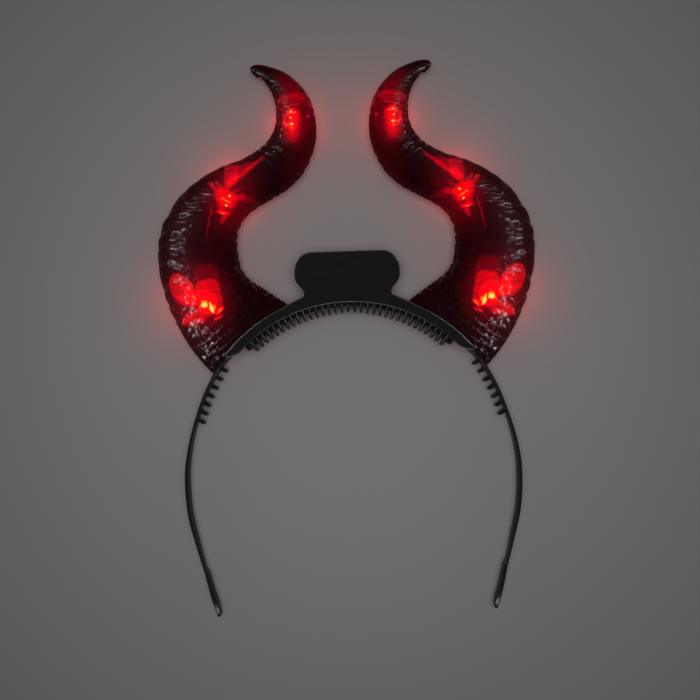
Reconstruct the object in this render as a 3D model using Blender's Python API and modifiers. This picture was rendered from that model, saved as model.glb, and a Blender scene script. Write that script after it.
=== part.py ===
"""Devil horns headband, lying on its back: X to the right, Y towards the horns' tips, Z towards the front.

The headband is one moulding: a springy strip with two arms, a front plate with a blank tab, and a comb.
Each horn is a hollow ringed shell that stands on the strip and holds three lamps on a flat light strip.
"""
import math

import bmesh
import bpy
from mathutils import Vector

# Arch of the band: every radius is from the centre of the arch circle
ARCH_CENTRE_Y = -0.04696
STRIP_OUTER = 0.0648
STRIP_THICKNESS = 0.0016
STRIP_DEPTH = 0.0243
STRIP_CHAMFER_SHARE = 0.3
ARCH_END = 50
ARCH_STEPS = 10

# Front plate and its tab: the plate stands proud of the strip by its lip, and the tab rises from the plate
PLATE_LIP = 0.0002
PLATE_HEIGHT = 0.0040
PLATE_THICKNESS = 0.0022
PLATE_TOP = STRIP_OUTER + PLATE_LIP
PLATE_BOTTOM = PLATE_TOP - PLATE_HEIGHT
PLATE_FRONT = STRIP_DEPTH + PLATE_LIP
PLATE_BACK = PLATE_FRONT - PLATE_THICKNESS
PLATE_ANGLE = 46.4
PLATE_TIP_RISE = 0.0010
PLATE_TIP = PLATE_BOTTOM + PLATE_TIP_RISE
PLATE_TIP_ANGLE = 49.0
PLATE_FOOT_ANGLE = 24
PLATE_STEPS = 8
PLATE_LOWER_STEPS = 14
TAB_HALF_WIDTH = 0.0213
TAB_HEIGHT = 0.0165
TAB_TOP = PLATE_TOP + TAB_HEIGHT
TAB_CORNER = 0.0075
TAB_SHOULDER_DROP = 0.0085
TAB_SHOULDER = TAB_TOP - TAB_SHOULDER_DROP
TAB_CORNER_STEPS = 6
TAB_LEAN = 42
TAB_LEAN_STEPS = 3
TAB_FILLET = 0.0026
TAB_FILLET_ARC = (155, 245)
TAB_FILLET_STEPS = 4
TAB_NECK = 0.0178
TAB_NECK_RISE = 0.0004
TAB_NECK_HEIGHT = PLATE_TOP + TAB_NECK_RISE
TAB_FOOT = [
    # rise above the plate and angle where the tab's fillet runs out onto the band
    (0.0007, 19.1),
    (0.0004, 22.0),
]

# Comb under the arch: the rail hangs in the strip behind the plate, and the teeth stand on the rail
RAIL_HEIGHT = 0.0059
RAIL_SETBACK = 0.0013
RAIL_BACK = 0.0080
RAIL_INNER = STRIP_OUTER - RAIL_HEIGHT
RAIL_FRONT = PLATE_BACK - RAIL_SETBACK
RAIL_ANGLE = 41.5
RAIL_END_RISE = 0.0005
RAIL_END = RAIL_INNER + RAIL_END_RISE
RAIL_END_ANGLE = 45.8
RAIL_STEPS = 24
TOOTH_COUNT = 33
TOOTH_PITCH = 2.55
TOOTH_LENGTH = 0.0025
TOOTH_TIP = RAIL_INNER - TOOTH_LENGTH
TOOTH_SHORTENING = 0.0007
TOOTH_WIDTH = 0.00095
TOOTH_INSET = 0.0010
TOOTH_PROUD = 0.0024
TOOTH_BACK = RAIL_BACK + TOOTH_INSET
TOOTH_FRONT = RAIL_FRONT + TOOTH_PROUD
TOOTH_TIP_STEPS = 4

# Arms below the arch: outer edge from the arch centre as shares of the strip's outer radius
ARM_STATIONS = [
    # x, y, thickness, depth
    (0.832, 0.556, 0.0012, 0.0170),
    (0.917, 0.400, 0.0009, 0.0130),
    (0.977, 0.242, 0.0009, 0.0118),
    (1.022, 0.088, 0.0011, 0.0118),
    (1.049, -0.069, 0.0013, 0.0119),
    (1.052, -0.224, 0.0014, 0.0115),
    (1.037, -0.381, 0.0014, 0.0105),
    (1.000, -0.539, 0.0013, 0.0093),
    (0.960, -0.687, 0.0010, 0.0081),
    (0.946, -0.736, 0.0015, 0.0084),
    (0.920, -0.852, 0.0018, 0.0085),
    (0.897, -0.932, 0.0019, 0.0082),
    (0.880, -0.988, 0.0016, 0.0062),
    (0.873, -1.0046, 0.0009, 0.0040),
]
ARM_STEPS = 2
ARM_TOOTH_COUNT = 7
ARM_TOOTH_FIRST = 0.0364
ARM_TOOTH_PITCH = 0.00345
ARM_TOOTH_ANGLE = 209.5
ARM_TOOTH_LENGTH = 0.0038
ARM_TOOTH_ROOT = 0.0020
ARM_TOOTH_TIP = 0.0014
ARM_TOOTH_DEPTH = 0.0045

# Horns: a seat on the strip, and rings from the base to the tip
SEAT_ANGLE = 40
SEAT_GAP = 0.0003
HORN_RISE = 0.112
HORN_MID_DEPTH = 0.0134
HORN_WALL = 0.0015
HORN_SIDES = 24
GROWTH_RINGS = 25
FIRST_RING = 0.3
CREST_SHARE = 0.55
RING_RELIEF = 0.0005
RELIEF_FADE = 1.6
CORE_SIDES = 16
CORE_STEPS = 20
CORE_END = 13.6
CORE_BELOW = 0.2
HORN_STATIONS = [
    # inner x, inner y, outer x, outer y as shares of the rise from the seat; depth as a share of the width
    (-0.191, 0.070, 0.078, -0.183, 0.37),
    (-0.147, 0.106, 0.127, -0.141, 0.40),
    (-0.071, 0.159, 0.194, -0.059, 0.53),
    (-0.015, 0.200, 0.248, 0.034, 0.69),
    (0.012, 0.245, 0.286, 0.130, 0.78),
    (0.021, 0.301, 0.310, 0.248, 0.81),
    (0.019, 0.357, 0.304, 0.363, 0.83),
    (-0.001, 0.408, 0.259, 0.465, 0.86),
    (-0.043, 0.447, 0.179, 0.547, 0.89),
    (-0.104, 0.482, 0.081, 0.604, 0.92),
    (-0.171, 0.522, -0.015, 0.639, 0.94),
    (-0.233, 0.586, -0.088, 0.686, 0.95),
    (-0.272, 0.681, -0.125, 0.743, 0.95),
    (-0.275, 0.777, -0.133, 0.808, 0.95),
    (-0.246, 0.866, -0.118, 0.873, 0.95),
    (-0.179, 0.937, -0.083, 0.925, 0.95),
    (-0.092, 0.971, -0.050, 0.953, 0.95),
    (-0.051, 0.975, -0.037, 0.965, 0.95),
]

# Lamps on a flat strip inside each horn
LIGHT_STRIP_WIDTH = 0.0050
LIGHT_STRIP_THICKNESS = 0.0008
LIGHT_STRIP_BACK = 0.0116
LIGHT_STATIONS = [
    # x, y as shares of the horn's rise from the seat
    (-0.052, -0.061),
    (0.132, 0.102),
    (0.156, 0.243),
    (0.132, 0.386),
    (0.051, 0.480),
    (-0.062, 0.552),
    (-0.155, 0.640),
    (-0.188, 0.778),
    (-0.186, 0.810),
]
LIGHT_STEPS = 4
LAMPS = {"low": 1, "mid": 4, "top": 7}
LAMP_RADIUS = 0.0024
LAMP_FLANGE = 0.0029
LAMP_FLANGE_HEIGHT = 0.0009
LAMP_HEIGHT = 0.0052
LAMP_DOME = 0.0012
LAMP_DOME_EDGE = 0.6
LAMP_DOME_DROP = 0.0003
LAMP_SIDES = 12
LAMP_GAP = 0.0003

# Fineness of round shapes and of the joints between plates
SEAT_SIDES = 96
SEAT_BELOW = -0.01
SEAT_ABOVE = 0.04
SMOOTH_ANGLE = 35
WELD = 0.00001


def clear_scene():
    """Start from an empty scene."""
    for item in list(bpy.data.objects):
        bpy.data.objects.remove(item, do_unlink=True)


def make_collection(name):
    """A collection in the scene."""
    collection = bpy.data.collections.new(name)
    bpy.context.scene.collection.children.link(collection)
    return collection


def make_material(name, colour, roughness, glow=0.0):
    """A plastic with one colour, and light of its own where it glows."""
    material = bpy.data.materials.new(name)
    material.use_nodes = True
    shader = material.node_tree.nodes["Principled BSDF"]
    shader.inputs["Base Color"].default_value = (*colour, 1.0)
    shader.inputs["Roughness"].default_value = roughness
    shader.inputs["Metallic"].default_value = 0.0
    shader.inputs["Emission Color"].default_value = (*colour, 1.0)
    shader.inputs["Emission Strength"].default_value = glow
    return material


def add_object(name, mesh, collection, material=None):
    """An object for a mesh, shaded smooth with its hard edges kept."""
    if material:
        mesh.materials.append(material)
    mesh.shade_smooth()
    mesh.set_sharp_from_angle(angle=math.radians(SMOOTH_ANGLE))
    item = bpy.data.objects.new(name, mesh)
    collection.objects.link(item)
    return item


def mesh_from(bm, name):
    """A mesh from edited geometry, its faces turned outwards."""
    bmesh.ops.recalc_face_normals(bm, faces=bm.faces)
    mesh = bpy.data.meshes.new(name)
    bm.to_mesh(mesh)
    bm.free()
    return mesh


def loft(name, rings):
    """A closed skin through rings of equal count, with flat ends."""
    bm = bmesh.new()
    loops = [[bm.verts.new(point) for point in ring] for ring in rings]
    count = len(loops[0])
    for low, high in zip(loops, loops[1:]):
        for i in range(count):
            j = (i + 1) % count
            bm.faces.new((low[i], low[j], high[j], high[i]))
    bm.faces.new(loops[0])
    bm.faces.new(loops[-1])
    return mesh_from(bm, name)


def flat_plate(name, outlines, back, front):
    """Flat outlines filled and given one thickness."""
    curve = bpy.data.curves.new(name, "CURVE")
    curve.dimensions = "2D"
    curve.fill_mode = "BOTH"
    curve.extrude = (front - back) / 2
    for outline in outlines:
        spline = curve.splines.new("POLY")
        spline.points.add(len(outline) - 1)
        for point, (x, y) in zip(spline.points, outline):
            point.co = (x, y, 0.0, 1.0)
        spline.use_cyclic_u = True
    guide = bpy.data.objects.new(name, curve)
    guide.location.z = (front + back) / 2
    bpy.context.scene.collection.objects.link(guide)
    bpy.context.view_layer.update()
    evaluated = guide.evaluated_get(bpy.context.evaluated_depsgraph_get())
    filled = bpy.data.meshes.new_from_object(evaluated)
    bm = bmesh.new()
    bm.from_mesh(filled)
    bmesh.ops.remove_doubles(bm, verts=bm.verts, dist=WELD)
    bmesh.ops.transform(bm, matrix=guide.matrix_world, verts=bm.verts)
    bpy.data.objects.remove(guide)
    return mesh_from(bm, name)


def disc(name, radius, back, front):
    """A round disc about the arch centre."""
    bm = bmesh.new()
    bmesh.ops.create_cone(
        bm, cap_ends=True, segments=SEAT_SIDES, radius1=radius, radius2=radius, depth=front - back
    )
    bmesh.ops.translate(bm, verts=bm.verts, vec=(0.0, ARCH_CENTRE_Y, (front + back) / 2))
    return mesh_from(bm, name)


def as_cutter(item):
    """Keep a shape that only shapes another out of sight."""
    item.hide_render = True
    item.display_type = "WIRE"
    return item


def combine(item, other, operation):
    """Join or cut one solid with another."""
    modifier = item.modifiers.new(f"{operation.lower()} {other.name}", "BOOLEAN")
    modifier.operation = operation
    modifier.solver = "EXACT"
    modifier.object = other


def on_arch(radius, angle):
    """The point at a radius and an angle from the top of the arch."""
    turn = math.radians(angle)
    return radius * math.sin(turn), ARCH_CENTRE_Y + radius * math.cos(turn)


def spline_rows(rows, steps):
    """Rows of numbers with smooth in-between rows, steps to each gap."""
    smooth = []
    for i in range(len(rows) - 1):
        before = rows[max(i - 1, 0)]
        after = rows[min(i + 2, len(rows) - 1)]
        for step in range(steps):
            smooth.append(spline_row(before, rows[i], rows[i + 1], after, step / steps))
    smooth.append(tuple(rows[-1]))
    return smooth


def spline_row(a, b, c, d, t):
    """One row on the smooth curve from b to c."""
    return tuple(
        0.5 * (2 * q + (r - p) * t + (2 * p - 5 * q + 4 * r - s) * t * t + (3 * q - p - 3 * r + s) * t**3)
        for p, q, r, s in zip(a, b, c, d)
    )


def row_at(rows, place):
    """The row at a place counted in rows from the first."""
    i = min(int(place), len(rows) - 2)
    return spline_row(
        rows[max(i - 1, 0)], rows[i], rows[i + 1], rows[min(i + 2, len(rows) - 1)], place - i
    )


def arm_rows():
    """Outer edge, thickness and depth of the strip from the middle of the arch to the right arm's tip."""
    rows = []
    for step in range(ARCH_STEPS + 1):
        x, y = on_arch(STRIP_OUTER, ARCH_END * step / ARCH_STEPS)
        rows.append((x, y, STRIP_THICKNESS, STRIP_DEPTH))
    below = [
        (x * STRIP_OUTER, ARCH_CENTRE_Y + y * STRIP_OUTER, thickness, depth)
        for x, y, thickness, depth in ARM_STATIONS
    ]
    return rows[:-1] + spline_rows(rows[-1:] + below, ARM_STEPS)


def strip_rings():
    """Chamfered sections of the strip from the left arm's tip to the right arm's."""
    right = arm_rows()
    rows = [(-x, y, thickness, depth) for x, y, thickness, depth in reversed(right[1:])] + right
    rings = []
    for i, (x, y, thickness, depth) in enumerate(rows):
        before = rows[max(i - 1, 0)]
        after = rows[min(i + 1, len(rows) - 1)]
        along = Vector((after[0] - before[0], after[1] - before[1], 0.0)).normalized()
        inward = Vector((along.y, -along.x, 0.0))
        chamfer = thickness * STRIP_CHAMFER_SHARE
        half = depth / 2
        ring = []
        for across, up in (
            (0.0, half - chamfer),
            (chamfer, half),
            (thickness - chamfer, half),
            (thickness, half - chamfer),
            (thickness, chamfer - half),
            (thickness - chamfer, -half),
            (chamfer, -half),
            (0.0, chamfer - half),
        ):
            ring.append(Vector((x, y, STRIP_DEPTH / 2 + up)) + inward * across)
        rings.append(ring)
    return rings


def arc(radius, start, end, steps):
    """Points along an arc about the arch centre."""
    return [on_arch(radius, start + (end - start) * i / steps) for i in range(steps + 1)]


def corner(centre_x, centre_y, radius, start, end, steps):
    """Points round a corner, angles counted from +X."""
    points = []
    for i in range(steps + 1):
        turn = math.radians(start + (end - start) * i / steps)
        points.append((centre_x + radius * math.cos(turn), centre_y + radius * math.sin(turn)))
    return points


def plate_outline():
    """The front plate: half of the tab and the band, mirrored to a whole outline."""
    top = ARCH_CENTRE_Y + TAB_TOP
    shoulder = ARCH_CENTRE_Y + TAB_SHOULDER
    centre_x = TAB_HALF_WIDTH - TAB_CORNER
    neck = (TAB_NECK + TAB_FILLET, ARCH_CENTRE_Y + TAB_NECK_HEIGHT)
    right = corner(centre_x, top - TAB_CORNER, TAB_CORNER, 90, 0, TAB_CORNER_STEPS)
    right += corner(centre_x, shoulder, TAB_CORNER, 0, -TAB_LEAN, TAB_LEAN_STEPS)
    right += corner(*neck, TAB_FILLET, *TAB_FILLET_ARC, TAB_FILLET_STEPS)
    right += [on_arch(PLATE_TOP + rise, angle) for rise, angle in TAB_FOOT]
    right += arc(PLATE_TOP, PLATE_FOOT_ANGLE, ARCH_END, PLATE_STEPS)
    right += [on_arch(STRIP_OUTER - STRIP_THICKNESS / 2, ARCH_END + 1)]
    right += [on_arch(PLATE_TIP, PLATE_TIP_ANGLE)]
    lower = arc(PLATE_BOTTOM, PLATE_ANGLE, 0, PLATE_LOWER_STEPS)
    right += lower[:-1]
    left = [(-x, y) for x, y in reversed(right)]
    return right + [lower[-1]] + left


def rail_outline():
    """The comb's rail, a band inside the strip."""
    outer = arc(STRIP_OUTER - STRIP_THICKNESS / 2, -PLATE_TIP_ANGLE, PLATE_TIP_ANGLE, RAIL_STEPS)
    inner = arc(RAIL_INNER, RAIL_ANGLE, -RAIL_ANGLE, RAIL_STEPS)
    ends = [on_arch(RAIL_END, RAIL_END_ANGLE), on_arch(RAIL_END, -RAIL_END_ANGLE)]
    return outer + ends[:1] + inner + ends[1:]


def tooth_outline(root, tip, root_width, tip_width):
    """A tapered tooth with a round tip, from a root point to a tip point."""
    root = Vector(root)
    tip = Vector(tip)
    along = (tip - root).normalized()
    side = Vector((-along.y, along.x))
    radius = tip_width / 2
    heel = tip - along * radius
    points = [root + side * root_width / 2]
    for i in range(TOOTH_TIP_STEPS + 1):
        turn = math.pi / 2 - math.pi * i / TOOTH_TIP_STEPS
        points.append(heel + side * radius * math.sin(turn) + along * radius * math.cos(turn))
    points.append(root - side * root_width / 2)
    return [(point.x, point.y) for point in points]


def comb_outlines():
    """The comb's teeth, evenly turned about the arch centre."""
    outlines = []
    middle = (TOOTH_COUNT - 1) / 2
    for i in range(TOOTH_COUNT):
        angle = (i - middle) * TOOTH_PITCH
        root = on_arch(PLATE_BOTTOM + TOOTH_WIDTH / 2, angle)
        tip = on_arch(TOOTH_TIP + TOOTH_SHORTENING * abs(i / middle - 1) ** 3, angle)
        outlines.append(tooth_outline(root, tip, TOOTH_WIDTH, TOOTH_WIDTH))
    return outlines


def strip_x(height):
    """How far out the strip's middle lies at a height above the arch centre."""
    rows = arm_rows()[ARCH_STEPS:]
    for (x0, y0, thickness, _), (x1, y1, _, _) in zip(rows, rows[1:]):
        share = (y0 - ARCH_CENTRE_Y - height) / (y0 - y1)
        if 0 <= share <= 1:
            return x0 + (x1 - x0) * share - thickness / 2
    raise ValueError("no strip at this height")


def arm_tooth_outlines():
    """The small teeth inside both arms, all pointing the same way down and in."""
    turn = math.radians(ARM_TOOTH_ANGLE)
    outlines = []
    for i in range(ARM_TOOTH_COUNT):
        height = ARM_TOOTH_FIRST - i * ARM_TOOTH_PITCH
        root = Vector((strip_x(height), ARCH_CENTRE_Y + height))
        tip = root + Vector((math.cos(turn), math.sin(turn))) * ARM_TOOTH_LENGTH
        outline = tooth_outline(root, tip, ARM_TOOTH_ROOT, ARM_TOOTH_TIP)
        outlines.append(outline)
        outlines.append([(-x, y) for x, y in reversed(outline)])
    return outlines


def horn_point(side, x, y):
    """A point given as shares of the horn's rise from its seat."""
    seat_x, seat_y = on_arch(PLATE_TOP, SEAT_ANGLE)
    return side * (seat_x + x * HORN_RISE), seat_y + y * HORN_RISE


def horn_ring(side, place, inset, sides):
    """One oval ring of a horn, set in from the outside by an inset."""
    inner_x, inner_y, outer_x, outer_y, depth = row_at(HORN_STATIONS, place)
    inner = Vector((*horn_point(side, inner_x, inner_y), HORN_MID_DEPTH))
    outer = Vector((*horn_point(side, outer_x, outer_y), HORN_MID_DEPTH))
    middle = (inner + outer) / 2
    across = (outer - inner) / 2
    half_width = across.length
    across *= 1 - inset / half_width
    half_depth = half_width * depth - inset
    ring = []
    for i in range(sides):
        turn = 2 * math.pi * i / sides
        ring.append(middle + across * math.cos(turn) + Vector((0, 0, half_depth * math.sin(turn))))
    return ring


def horn_mesh(side):
    """The outside of a horn, each growth ring a crest and a groove."""
    last = len(HORN_STATIONS) - 1
    gap = (last - FIRST_RING) / GROWTH_RINGS
    rings = [horn_ring(side, 0, 0.0, HORN_SIDES)]
    for i in range(GROWTH_RINGS):
        place = FIRST_RING + gap * i
        relief = RING_RELIEF * min(1.0, RELIEF_FADE * (1 - i / GROWTH_RINGS))
        rings.append(horn_ring(side, place, relief, HORN_SIDES))
        rings.append(horn_ring(side, place + gap * CREST_SHARE, 0.0, HORN_SIDES))
    rings.append(horn_ring(side, last, 0.0, HORN_SIDES))
    return loft("horn", rings)


def core_mesh(side):
    """The hollow of a horn, open at the base and closed before the tip."""
    places = [CORE_END * i / CORE_STEPS for i in range(CORE_STEPS + 1)]
    rings = [horn_ring(side, place, HORN_WALL, CORE_SIDES) for place in places]
    below = [point + (point - above) * CORE_BELOW for point, above in zip(rings[0], rings[1])]
    return loft("core", [below] + rings)


def light_strip_outline(side):
    """A ribbon of even width along the light strip's middle line."""
    points = [Vector(horn_point(side, x, y)) for x, y in spline_rows(LIGHT_STATIONS, LIGHT_STEPS)]
    left = []
    right = []
    for i, point in enumerate(points):
        along = (points[min(i + 1, len(points) - 1)] - points[max(i - 1, 0)]).normalized()
        across = Vector((-along.y, along.x)) * LIGHT_STRIP_WIDTH / 2
        left.append(tuple(point + across))
        right.append(tuple(point - across))
    return left + right[::-1]


def lamp_mesh():
    """A round lamp with a flange and a domed top: half its profile, turned."""
    profile = [
        (0.0, LAMP_HEIGHT),
        (LAMP_RADIUS * LAMP_DOME_EDGE, LAMP_HEIGHT - LAMP_DOME_DROP),
        (LAMP_RADIUS, LAMP_HEIGHT - LAMP_DOME),
        (LAMP_RADIUS, LAMP_FLANGE_HEIGHT),
        (LAMP_FLANGE, LAMP_FLANGE_HEIGHT),
        (LAMP_FLANGE, 0.0),
        (0.0, 0.0),
    ]
    mesh = bpy.data.meshes.new("lamp")
    edges = [(i, i + 1) for i in range(len(profile) - 1)]
    mesh.from_pydata([(x, 0.0, z) for x, z in profile], edges, [])
    return mesh


def build_headband(parts, cutters, material):
    """The strip with everything that is moulded onto it."""
    headband = add_object("headband", loft("headband", strip_rings()), parts, material)
    pieces = {
        "plate": flat_plate("plate", [plate_outline()], PLATE_BACK, PLATE_FRONT),
        "rail": flat_plate("rail", [rail_outline()], RAIL_BACK, RAIL_FRONT),
        "comb": flat_plate("comb", comb_outlines(), TOOTH_BACK, TOOTH_FRONT),
        "arm_teeth": flat_plate(
            "arm_teeth",
            arm_tooth_outlines(),
            (STRIP_DEPTH - ARM_TOOTH_DEPTH) / 2,
            (STRIP_DEPTH + ARM_TOOTH_DEPTH) / 2,
        ),
    }
    for name, mesh in pieces.items():
        combine(headband, as_cutter(add_object(name, mesh, cutters)), "UNION")


def build_horn(side, label, parts, cutters, seats, materials):
    """One horn with its light strip and lamps."""
    horn = add_object(f"horn_{label}", horn_mesh(side), parts, materials["horn"])
    core = as_cutter(add_object(f"core_{label}", core_mesh(side), cutters))
    combine(horn, core, "DIFFERENCE")
    for seat in seats:
        combine(horn, seat, "DIFFERENCE")
    strip_top = LIGHT_STRIP_BACK + LIGHT_STRIP_THICKNESS
    ribbon = flat_plate("light_strip", [light_strip_outline(side)], LIGHT_STRIP_BACK, strip_top)
    strip = add_object(f"light_strip_{label}", ribbon, parts, materials["strip"])
    combine(strip, seats[0], "DIFFERENCE")
    for name, station in LAMPS.items():
        lamp = add_object(f"lamp_{label}_{name}", lamp_mesh(), parts, materials["lamp"])
        screw = lamp.modifiers.new("turn", "SCREW")
        screw.steps = LAMP_SIDES
        screw.render_steps = LAMP_SIDES
        screw.use_merge_vertices = True
        screw.merge_threshold = WELD
        x, y = horn_point(side, *LIGHT_STATIONS[station])
        lamp.location = (x, y, strip_top + LAMP_GAP)


def build():
    """The whole headband."""
    clear_scene()
    parts = make_collection("devil_horns_headband")
    cutters = make_collection("cutters")
    black = make_material("band_black", (0.020, 0.020, 0.022), 0.45)
    materials = {
        "horn": make_material("horn_dark_red", (0.055, 0.004, 0.006), 0.25),
        "strip": make_material("strip_white", (0.55, 0.55, 0.52), 0.5),
        "lamp": make_material("lamp_red", (1.0, 0.03, 0.01), 0.2, 4.0),
    }
    build_headband(parts, cutters, black)
    seats = [
        as_cutter(add_object(name, mesh, cutters))
        for name, mesh in (
            ("strip_seat", disc("strip_seat", STRIP_OUTER + SEAT_GAP, SEAT_BELOW, SEAT_ABOVE)),
            ("plate_seat", disc("plate_seat", PLATE_TOP + SEAT_GAP, PLATE_BACK - SEAT_GAP, SEAT_ABOVE)),
        )
    ]
    build_horn(-1, "left", parts, cutters, seats, materials)
    build_horn(1, "right", parts, cutters, seats, materials)


build()
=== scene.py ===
# %% [markdown]
# # Light-up devil horns on a headband
# A springy black plastic headband carries two hollow horns. The horns are thin, dark red, glossy
# shells, and small lamps inside make three patches of each horn glow. The whole thing lies on its
# back on a pale table, and the camera looks straight down on it.
#
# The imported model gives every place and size. The headband and the two shells are made again here
# with more detail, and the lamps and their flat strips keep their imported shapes.

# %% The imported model
import math

import bmesh
import bpy
from mathutils import Matrix, Vector, noise


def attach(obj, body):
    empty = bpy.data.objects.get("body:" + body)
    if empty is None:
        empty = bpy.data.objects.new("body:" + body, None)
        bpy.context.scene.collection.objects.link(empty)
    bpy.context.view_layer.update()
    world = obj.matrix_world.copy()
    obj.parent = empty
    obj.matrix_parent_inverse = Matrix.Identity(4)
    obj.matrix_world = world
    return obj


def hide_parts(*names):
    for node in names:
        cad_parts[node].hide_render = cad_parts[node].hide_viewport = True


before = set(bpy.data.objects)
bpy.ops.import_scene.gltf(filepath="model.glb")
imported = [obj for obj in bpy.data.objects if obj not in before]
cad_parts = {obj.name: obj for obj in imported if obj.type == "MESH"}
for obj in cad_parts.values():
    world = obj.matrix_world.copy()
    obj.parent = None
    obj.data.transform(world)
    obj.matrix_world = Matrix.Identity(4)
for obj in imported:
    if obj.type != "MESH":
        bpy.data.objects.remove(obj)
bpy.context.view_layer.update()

MM = 0.001

# %% [markdown]
# ## The camera
# The object was seen from straight above, about 65 cm away, slightly turned. A long lens keeps the
# far ends of the arms and the near tops of the horns at nearly one scale.

# %% Camera
EYE_HEIGHT = 0.6745
FIELD = 0.280
FRONT_PLANE = 0.0245
ROLL = math.radians(-1.81)
AIM = (0.00017, -0.00516)

camera = bpy.data.objects.new("camera", bpy.data.cameras.new("camera"))
bpy.context.scene.collection.objects.link(camera)
camera.data.sensor_width = 36
camera.data.lens = camera.data.sensor_width * (EYE_HEIGHT - FRONT_PLANE) / FIELD
camera.data.clip_start = 0.01
camera.location = (*AIM, EYE_HEIGHT)
camera.rotation_euler = (0, 0, ROLL)
bpy.context.scene.camera = camera
bpy.context.scene.view_settings.view_transform = "Standard"
print("lens, mm:", round(camera.data.lens, 1))

# %% [markdown]
# ## Helpers for materials
# Colours are written as sRGB hex values, as a maker reads them off a sample card, and turned linear
# for the shader. One function adds any node, sets it and links it, in a material or in the
# compositor. The others are short forms of it for sums, ranges and ramps. A pattern's scale is one
# over its size, so sizes are given in millimetres.

# %% Colour and node helpers
def colour(code):
    """A linear colour from an sRGB hex value."""
    parts = [int(code[i:i + 2], 16) / 255 for i in (1, 3, 5)]
    return (*[c / 12.92 if c <= 0.04045 else ((c + 0.055) / 1.055) ** 2.4 for c in parts], 1.0)


def fill(tree, node, inputs):
    """Set inputs to values, or link them to sockets or to the first outputs of nodes."""
    for name, value in inputs.items():
        if isinstance(value, bpy.types.Node):
            value = value.outputs[0]
        if isinstance(value, bpy.types.NodeSocket):
            tree.links.new(value, node.inputs[name])
        else:
            node.inputs[name].default_value = value


def add(tree, kind, inputs=None, **settings):
    """Add a node with its settings and its inputs."""
    family = "CompositorNode" if tree.type == "COMPOSITING" else "ShaderNode"
    new = tree.nodes.new(family + kind)
    for name, value in settings.items():
        setattr(new, name, value)
    fill(tree, new, inputs or {})
    return new


def maths(tree, operation, *values, **settings):
    """Add a sum of one, two or three values."""
    return add(tree, "Math", dict(enumerate(values)), operation=operation, **settings)


def remap(tree, value, old, new, **settings):
    """Add a change from one range of values to another."""
    return add(tree, "MapRange", {
        "Value": value,
        "From Min": old[0], "From Max": old[1], "To Min": new[0], "To Max": new[1],
    }, **settings)


def ramp(tree, value, low, high, start=0.0, end=1.0):
    """Add a ramp from one colour to another."""
    new = add(tree, "ValToRGB", {"Fac": value})
    for stop, code, position in zip(new.color_ramp.elements, (low, high), (start, end)):
        stop.color = colour(code)
        stop.position = position
    return new


def scale_of(size):
    """The scale that gives a pattern this size, in mm."""
    return 1 / (size * MM)


def blank(name):
    """A new material, its node tree and its Principled shader."""
    material = bpy.data.materials.new(name)
    material.use_nodes = True
    return material, material.node_tree, material.node_tree.nodes["Principled BSDF"]


# %% [markdown]
# ## Black moulded ABS
# The headband is injection-moulded ABS, coloured through. The mould's faces were finely spark
# eroded, which gives a satin face with a barely visible grain. A picture of such plastic could be
# laid on it, but a noise stays sharp at any distance and needs no unwrapping. The real grain is
# about 0.1 mm; here it is drawn at 0.5 mm so that it shows at all. Seen edge on, the grain hides
# the gloss, so the roughness rises there.

# %% Material for the headband
abs_black, tree, shader = blank("satin_black_abs")
place = add(tree, "TexCoord").outputs["Object"]
grain = add(tree, "TexNoise", {
    "Vector": place, "Scale": scale_of(0.5), "Detail": 3.0, "Roughness": 0.7,
})
cloud = add(tree, "TexNoise", {"Vector": place, "Scale": scale_of(3.333), "Detail": 4.0})
rough = remap(tree, cloud, (0.3, 0.7), (0.28, 0.33))
edge_on = add(tree, "LayerWeight", {"Blend": 0.5}).outputs["Facing"]
duller = remap(tree, edge_on, (0.60, 0.90), (0.0, 0.40))
fill(tree, shader, {
    "Base Color": ramp(tree, grain, "#0c0c0d", "#161618", 0.30, 0.72),
    "Roughness": maths(tree, "ADD", rough, duller),
    "Normal": add(tree, "Bump", {"Height": grain, "Strength": 0.35, "Distance": 0.00006}),
    "IOR": 1.53,
})
print("made", abs_black.name)

# %% [markdown]
# ## The glow under the skin
# Each lamp sits behind wrinkled, see-through vinyl. Its light spreads as a soft pool, and folds in
# the vinyl throw it into petals and rays with crisp edges. The lamp itself shows as small yellow
# dots. This could be a real light behind a see-through shell, but that renders slowly and grainy.
# Instead, every patch is an oval in a short table, and the shell shines where the ovals lie. The
# tables hold the right-hand horn, and the left one reads them mirrored.
#
# A material can hold only some seventy ovals before the renderer gives up on it. So the soft pools
# are worked out at the points of the mesh, which are close enough together for them, and only
# what has crisp edges is drawn in the material.

# %% Table of soft pools
POOLS = [
    # x, y, turn in degrees, half length, half width (all mm), softness, strength
    (60.0, 17.0, 95, 17.0, 12.5, 0.60, 0.026),
    # the next row lies away from the lamps: a faint red glow painted along the belly's outer side,
    # a painted red sheen
    (67.0, 40.0, 100, 17.0, 7.0, 0.80, 0.009),
    (58.5, 17.5, 75, 12.0, 10.5, 0.50, 0.060),
    (62.0, 15.0, 60, 10.0, 8.0, 0.40, 0.050),
    (56.8, 15.4, 85, 5.0, 4.2, 0.35, 0.700),
    (63.2, 18.8, 57, 4.8, 2.8, 0.45, 0.420),
    (46.0, 56.5, 110, 17.0, 11.0, 0.60, 0.025),
    (46.3, 57.5, 100, 11.0, 8.5, 0.50, 0.060),
    (47.4, 57.3, 38, 4.6, 3.2, 0.35, 0.800),
    (47.6, 52.6, 90, 3.2, 2.6, 0.50, 0.200),
    (19.0, 92.5, 92, 14.0, 8.5, 0.35, 0.035),
    (19.6, 90.0, 90, 11.5, 6.6, 0.40, 0.070),
    (22.0, 104.0, 35, 5.5, 2.6, 0.60, 0.045),
    (16.0, 77.0, 100, 17.0, 6.5, 0.80, 0.018),
    (20.3, 86.8, 90, 6.2, 3.6, 0.35, 0.330),
    (20.1, 87.5, 90, 4.6, 1.5, 0.45, 0.500),
]
print("soft pools:", len(POOLS))

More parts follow.
